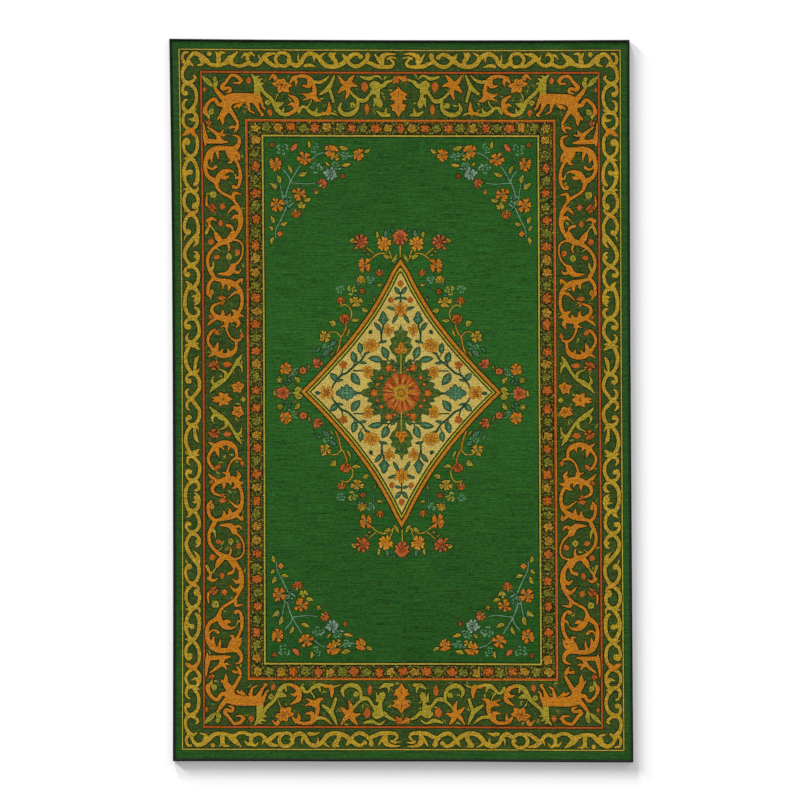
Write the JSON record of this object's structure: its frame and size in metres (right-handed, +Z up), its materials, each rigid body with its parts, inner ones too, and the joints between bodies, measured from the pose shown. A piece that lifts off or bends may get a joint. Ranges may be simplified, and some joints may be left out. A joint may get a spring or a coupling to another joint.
{
  "type": "washable area rug",
  "caption": "Flat low-pile washable area rug with a printed medallion, floral corners and scrolling borders, finished with a black serged edge.",
  "frame": {"origin": "middle of the rug's footprint, on the floor that it lies on", "axes": "+Z up out of the pile, +Y along the rug's length, +X across its width"},
  "size_m": [1.5446, 2.4082, 0.004],
  "materials": {
    "printed_pile": "matte printed low pile",
    "edge_yarn": "matte wrapped yarn"
  },
  "bodies": {
    "root": {"rug_cloth": "printed_pile", "serged_edge_left": "edge_yarn", "serged_edge_right": "edge_yarn", "serged_edge_bottom": "edge_yarn", "serged_edge_top": "edge_yarn"}
  },
  "joints": []
}
